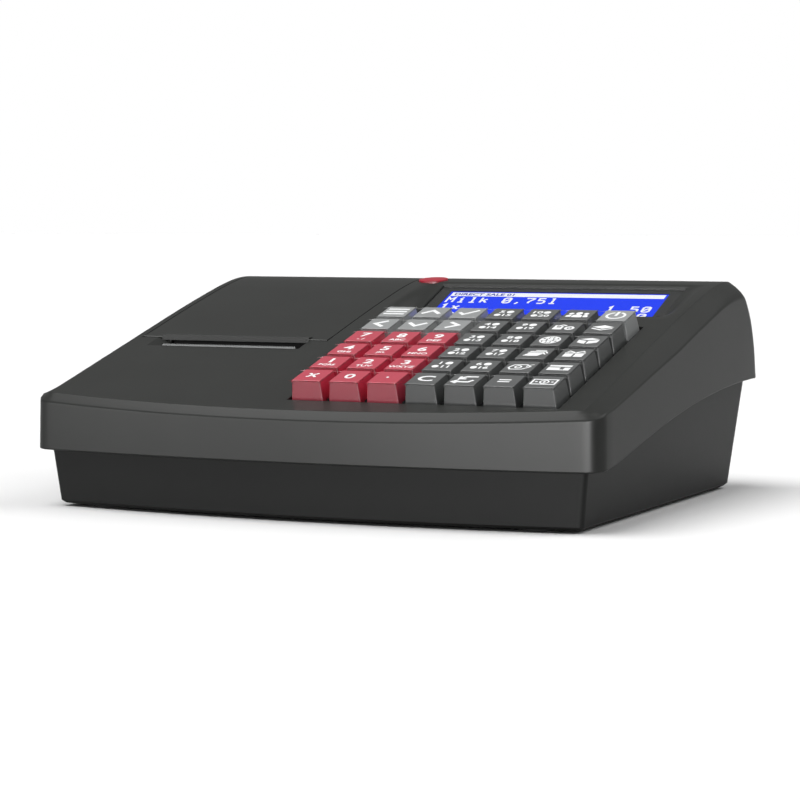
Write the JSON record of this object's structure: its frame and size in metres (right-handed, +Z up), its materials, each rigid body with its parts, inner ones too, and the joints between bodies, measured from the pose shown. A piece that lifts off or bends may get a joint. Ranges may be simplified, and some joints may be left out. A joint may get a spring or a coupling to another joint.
{
  "type": "electronic cash register",
  "caption": "Compact desktop cash register with a receipt printer under a hinged lid, a sloping keyboard and a sunken blue operator display.",
  "frame": {"origin": "middle of the footprint, on the surface that the feet stand on", "axes": "+X to the operator's right, +Y towards the back, +Z up"},
  "size_m": [0.3048, 0.2624, 0.1126],
  "materials": {
    "upper_case": "satin charcoal, fine grain",
    "lower_case": "satin near-black",
    "key_red": "semi-gloss red",
    "key_light": "semi-gloss light grey",
    "key_dark": "semi-gloss dark grey",
    "inner_plastic": "matte black",
    "rubber": "matte",
    "steel": "brushed",
    "display_lens": "clear, tinted",
    "display_panel": "lit blue panel",
    "button": "gloss red",
    "paper": "smooth white paper",
    "circuit_board": "solder mask green"
  },
  "bodies": {
    "case": {"upper_case": "upper_case", "lower_case": "lower_case", "lid_hinge_pin": "steel", "tear_bar": "steel", "print_head": "inner_plastic", "display_window": "display_lens", "display_module": "display_panel", "key_frame": "inner_plastic", "circuit_board": "circuit_board", "power_inlet": "inner_plastic", "foot_front_left": "rubber", "foot_front_right": "rubber", "foot_rear_left": "rubber", "foot_rear_right": "rubber"},
    "lid": {"printer_lid": "upper_case"},
    "platen": {"platen_roller": "rubber"},
    "paper": {"paper_roll": "paper"},
    "button": {"release_button": "button"},
    "key_r1_c1": {"key_r1_c1": "key_red"},
    "key_r1_c2": {"key_r1_c2": "key_red"},
    "key_r1_c3": {"key_r1_c3": "key_red"},
    "key_r1_c4": {"key_r1_c4": "key_dark"},
    "key_r1_c5": {"key_r1_c5": "key_dark"},
    "key_r1_c6": {"key_r1_c6": "key_dark"},
    "key_r1_c7": {"key_r1_c7": "key_dark"},
    "key_r2_c1": {"key_r2_c1": "key_red"},
    "key_r2_c2": {"key_r2_c2": "key_red"},
    "key_r2_c3": {"key_r2_c3": "key_red"},
    "key_r2_c4": {"key_r2_c4": "key_dark"},
    "key_r2_c5": {"key_r2_c5": "key_dark"},
    "key_r2_c6": {"key_r2_c6": "key_dark"},
    "key_r2_c7": {"key_r2_c7": "key_dark"},
    "key_r3_c1": {"key_r3_c1": "key_red"},
    "key_r3_c2": {"key_r3_c2": "key_red"},
    "key_r3_c3": {"key_r3_c3": "key_red"},
    "key_r3_c4": {"key_r3_c4": "key_dark"},
    "key_r3_c5": {"key_r3_c5": "key_dark"},
    "key_r3_c6": {"key_r3_c6": "key_dark"},
    "key_r3_c7": {"key_r3_c7": "key_dark"},
    "key_r4_c1": {"key_r4_c1": "key_red"},
    "key_r4_c2": {"key_r4_c2": "key_red"},
    "key_r4_c3": {"key_r4_c3": "key_red"},
    "key_r4_c4": {"key_r4_c4": "key_dark"},
    "key_r4_c5": {"key_r4_c5": "key_dark"},
    "key_r4_c6": {"key_r4_c6": "key_dark"},
    "key_r4_c7": {"key_r4_c7": "key_dark"},
    "key_r5_c1": {"key_r5_c1": "key_light"},
    "key_r5_c2": {"key_r5_c2": "key_light"},
    "key_r5_c3": {"key_r5_c3": "key_light"},
    "key_r5_c4": {"key_r5_c4": "key_dark"},
    "key_r5_c5": {"key_r5_c5": "key_dark"},
    "key_r5_c6": {"key_r5_c6": "key_dark"},
    "key_r5_c7": {"key_r5_c7": "key_dark"},
    "key_r6_c1": {"key_r6_c1": "key_light"},
    "key_r6_c2": {"key_r6_c2": "key_light"},
    "key_r6_c3": {"key_r6_c3": "key_light"},
    "key_r6_c4": {"key_r6_c4": "key_dark"},
    "key_r6_c5": {"key_r6_c5": "key_dark"},
    "key_r6_c6": {"key_r6_c6": "key_dark"},
    "key_r6_c7": {"key_r6_c7": "key_light"}
  },
  "joints": [
    {"name": "lid_hinge", "type": "hinge", "parent": "case", "child": "lid", "pos_m": [-0.0851, 0.0964, 0.10691], "axis": [-1, 0, 0], "range_deg": [0, 85]},
    {"name": "platen_spin", "type": "hinge", "parent": "lid", "child": "platen", "pos_m": [-0.083, -0.022, 0.07467], "axis": [1, 0, 0], "continuous": true},
    {"name": "paper_spin", "type": "hinge", "parent": "case", "child": "paper", "pos_m": [-0.083, 0.038, 0.0434], "axis": [1, 0, 0], "continuous": true},
    {"name": "release_press", "type": "slide", "parent": "case", "child": "button", "axis": [0, 0.1305, -0.9914], "range_m": [0, 0.002], "stiffness_N_per_m": 400, "springref_m": -0.001},
    {"name": "press_r1_c1", "type": "slide", "parent": "case", "child": "key_r1_c1", "axis": [0, 0.2735, -0.9619], "range_m": [0, 0.003], "stiffness_N_per_m": 200, "springref_m": -0.001},
    {"name": "press_r1_c2", "type": "slide", "parent": "case", "child": "key_r1_c2", "axis": [0, 0.2735, -0.9619], "range_m": [0, 0.003], "stiffness_N_per_m": 200, "springref_m": -0.001},
    {"name": "press_r1_c3", "type": "slide", "parent": "case", "child": "key_r1_c3", "axis": [0, 0.2735, -0.9619], "range_m": [0, 0.003], "stiffness_N_per_m": 200, "springref_m": -0.001},
    {"name": "press_r1_c4", "type": "slide", "parent": "case", "child": "key_r1_c4", "axis": [0, 0.2735, -0.9619], "range_m": [0, 0.003], "stiffness_N_per_m": 200, "springref_m": -0.001},
    {"name": "press_r1_c5", "type": "slide", "parent": "case", "child": "key_r1_c5", "axis": [0, 0.2735, -0.9619], "range_m": [0, 0.003], "stiffness_N_per_m": 200, "springref_m": -0.001},
    {"name": "press_r1_c6", "type": "slide", "parent": "case", "child": "key_r1_c6", "axis": [0, 0.2735, -0.9619], "range_m": [0, 0.003], "stiffness_N_per_m": 200, "springref_m": -0.001},
    {"name": "press_r1_c7", "type": "slide", "parent": "case", "child": "key_r1_c7", "axis": [0, 0.2735, -0.9619], "range_m": [0, 0.003], "stiffness_N_per_m": 200, "springref_m": -0.001},
    {"name": "press_r2_c1", "type": "slide", "parent": "case", "child": "key_r2_c1", "axis": [0, 0.2735, -0.9619], "range_m": [0, 0.003], "stiffness_N_per_m": 200, "springref_m": -0.001},
    {"name": "press_r2_c2", "type": "slide", "parent": "case", "child": "key_r2_c2", "axis": [0, 0.2735, -0.9619], "range_m": [0, 0.003], "stiffness_N_per_m": 200, "springref_m": -0.001},
    {"name": "press_r2_c3", "type": "slide", "parent": "case", "child": "key_r2_c3", "axis": [0, 0.2735, -0.9619], "range_m": [0, 0.003], "stiffness_N_per_m": 200, "springref_m": -0.001},
    {"name": "press_r2_c4", "type": "slide", "parent": "case", "child": "key_r2_c4", "axis": [0, 0.2735, -0.9619], "range_m": [0, 0.003], "stiffness_N_per_m": 200, "springref_m": -0.001},
    {"name": "press_r2_c5", "type": "slide", "parent": "case", "child": "key_r2_c5", "axis": [0, 0.2735, -0.9619], "range_m": [0, 0.003], "stiffness_N_per_m": 200, "springref_m": -0.001},
    {"name": "press_r2_c6", "type": "slide", "parent": "case", "child": "key_r2_c6", "axis": [0, 0.2735, -0.9619], "range_m": [0, 0.003], "stiffness_N_per_m": 200, "springref_m": -0.001},
    {"name": "press_r2_c7", "type": "slide", "parent": "case", "child": "key_r2_c7", "axis": [0, 0.2735, -0.9619], "range_m": [0, 0.003], "stiffness_N_per_m": 200, "springref_m": -0.001},
    {"name": "press_r3_c1", "type": "slide", "parent": "case", "child": "key_r3_c1", "axis": [0, 0.2735, -0.9619], "range_m": [0, 0.003], "stiffness_N_per_m": 200, "springref_m": -0.001},
    {"name": "press_r3_c2", "type": "slide", "parent": "case", "child": "key_r3_c2", "axis": [0, 0.2735, -0.9619], "range_m": [0, 0.003], "stiffness_N_per_m": 200, "springref_m": -0.001},
    {"name": "press_r3_c3", "type": "slide", "parent": "case", "child": "key_r3_c3", "axis": [0, 0.2735, -0.9619], "range_m": [0, 0.003], "stiffness_N_per_m": 200, "springref_m": -0.001},
    {"name": "press_r3_c4", "type": "slide", "parent": "case", "child": "key_r3_c4", "axis": [0, 0.2735, -0.9619], "range_m": [0, 0.003], "stiffness_N_per_m": 200, "springref_m": -0.001},
    {"name": "press_r3_c5", "type": "slide", "parent": "case", "child": "key_r3_c5", "axis": [0, 0.2735, -0.9619], "range_m": [0, 0.003], "stiffness_N_per_m": 200, "springref_m": -0.001},
    {"name": "press_r3_c6", "type": "slide", "parent": "case", "child": "key_r3_c6", "axis": [0, 0.2735, -0.9619], "range_m": [0, 0.003], "stiffness_N_per_m": 200, "springref_m": -0.001},
    {"name": "press_r3_c7", "type": "slide", "parent": "case", "child": "key_r3_c7", "axis": [0, 0.2735, -0.9619], "range_m": [0, 0.003], "stiffness_N_per_m": 200, "springref_m": -0.001},
    {"name": "press_r4_c1", "type": "slide", "parent": "case", "child": "key_r4_c1", "axis": [0, 0.2735, -0.9619], "range_m": [0, 0.003], "stiffness_N_per_m": 200, "springref_m": -0.001},
    {"name": "press_r4_c2", "type": "slide", "parent": "case", "child": "key_r4_c2", "axis": [0, 0.2735, -0.9619], "range_m": [0, 0.003], "stiffness_N_per_m": 200, "springref_m": -0.001},
    {"name": "press_r4_c3", "type": "slide", "parent": "case", "child": "key_r4_c3", "axis": [0, 0.2735, -0.9619], "range_m": [0, 0.003], "stiffness_N_per_m": 200, "springref_m": -0.001},
    {"name": "press_r4_c4", "type": "slide", "parent": "case", "child": "key_r4_c4", "axis": [0, 0.2735, -0.9619], "range_m": [0, 0.003], "stiffness_N_per_m": 200, "springref_m": -0.001},
    {"name": "press_r4_c5", "type": "slide", "parent": "case", "child": "key_r4_c5", "axis": [0, 0.2735, -0.9619], "range_m": [0, 0.003], "stiffness_N_per_m": 200, "springref_m": -0.001},
    {"name": "press_r4_c6", "type": "slide", "parent": "case", "child": "key_r4_c6", "axis": [0, 0.2735, -0.9619], "range_m": [0, 0.003], "stiffness_N_per_m": 200, "springref_m": -0.001},
    {"name": "press_r4_c7", "type": "slide", "parent": "case", "child": "key_r4_c7", "axis": [0, 0.2735, -0.9619], "range_m": [0, 0.003], "stiffness_N_per_m": 200, "springref_m": -0.001},
    {"name": "press_r5_c1", "type": "slide", "parent": "case", "child": "key_r5_c1", "axis": [0, 0.2735, -0.9619], "range_m": [0, 0.003], "stiffness_N_per_m": 200, "springref_m": -0.001},
    {"name": "press_r5_c2", "type": "slide", "parent": "case", "child": "key_r5_c2", "axis": [0, 0.2735, -0.9619], "range_m": [0, 0.003], "stiffness_N_per_m": 200, "springref_m": -0.001},
    {"name": "press_r5_c3", "type": "slide", "parent": "case", "child": "key_r5_c3", "axis": [0, 0.2735, -0.9619], "range_m": [0, 0.003], "stiffness_N_per_m": 200, "springref_m": -0.001},
    {"name": "press_r5_c4", "type": "slide", "parent": "case", "child": "key_r5_c4", "axis": [0, 0.2735, -0.9619], "range_m": [0, 0.003], "stiffness_N_per_m": 200, "springref_m": -0.001},
    {"name": "press_r5_c5", "type": "slide", "parent": "case", "child": "key_r5_c5", "axis": [0, 0.2735, -0.9619], "range_m": [0, 0.003], "stiffness_N_per_m": 200, "springref_m": -0.001},
    {"name": "press_r5_c6", "type": "slide", "parent": "case", "child": "key_r5_c6", "axis": [0, 0.2735, -0.9619], "range_m": [0, 0.003], "stiffness_N_per_m": 200, "springref_m": -0.001},
    {"name": "press_r5_c7", "type": "slide", "parent": "case", "child": "key_r5_c7", "axis": [0, 0.2735, -0.9619], "range_m": [0, 0.003], "stiffness_N_per_m": 200, "springref_m": -0.001},
    {"name": "press_r6_c1", "type": "slide", "parent": "case", "child": "key_r6_c1", "axis": [0, 0.2735, -0.9619], "range_m": [0, 0.003], "stiffness_N_per_m": 200, "springref_m": -0.001},
    {"name": "press_r6_c2", "type": "slide", "parent": "case", "child": "key_r6_c2", "axis": [0, 0.2735, -0.9619], "range_m": [0, 0.003], "stiffness_N_per_m": 200, "springref_m": -0.001},
    {"name": "press_r6_c3", "type": "slide", "parent": "case", "child": "key_r6_c3", "axis": [0, 0.2735, -0.9619], "range_m": [0, 0.003], "stiffness_N_per_m": 200, "springref_m": -0.001},
    {"name": "press_r6_c4", "type": "slide", "parent": "case", "child": "key_r6_c4", "axis": [0, 0.2735, -0.9619], "range_m": [0, 0.003], "stiffness_N_per_m": 200, "springref_m": -0.001},
    {"name": "press_r6_c5", "type": "slide", "parent": "case", "child": "key_r6_c5", "axis": [0, 0.2735, -0.9619], "range_m": [0, 0.003], "stiffness_N_per_m": 200, "springref_m": -0.001},
    {"name": "press_r6_c6", "type": "slide", "parent": "case", "child": "key_r6_c6", "axis": [0, 0.2735, -0.9619], "range_m": [0, 0.003], "stiffness_N_per_m": 200, "springref_m": -0.001},
    {"name": "press_r6_c7", "type": "slide", "parent": "case", "child": "key_r6_c7", "axis": [0, 0.2735, -0.9619], "range_m": [0, 0.003], "stiffness_N_per_m": 200, "springref_m": -0.001}
  ]
}
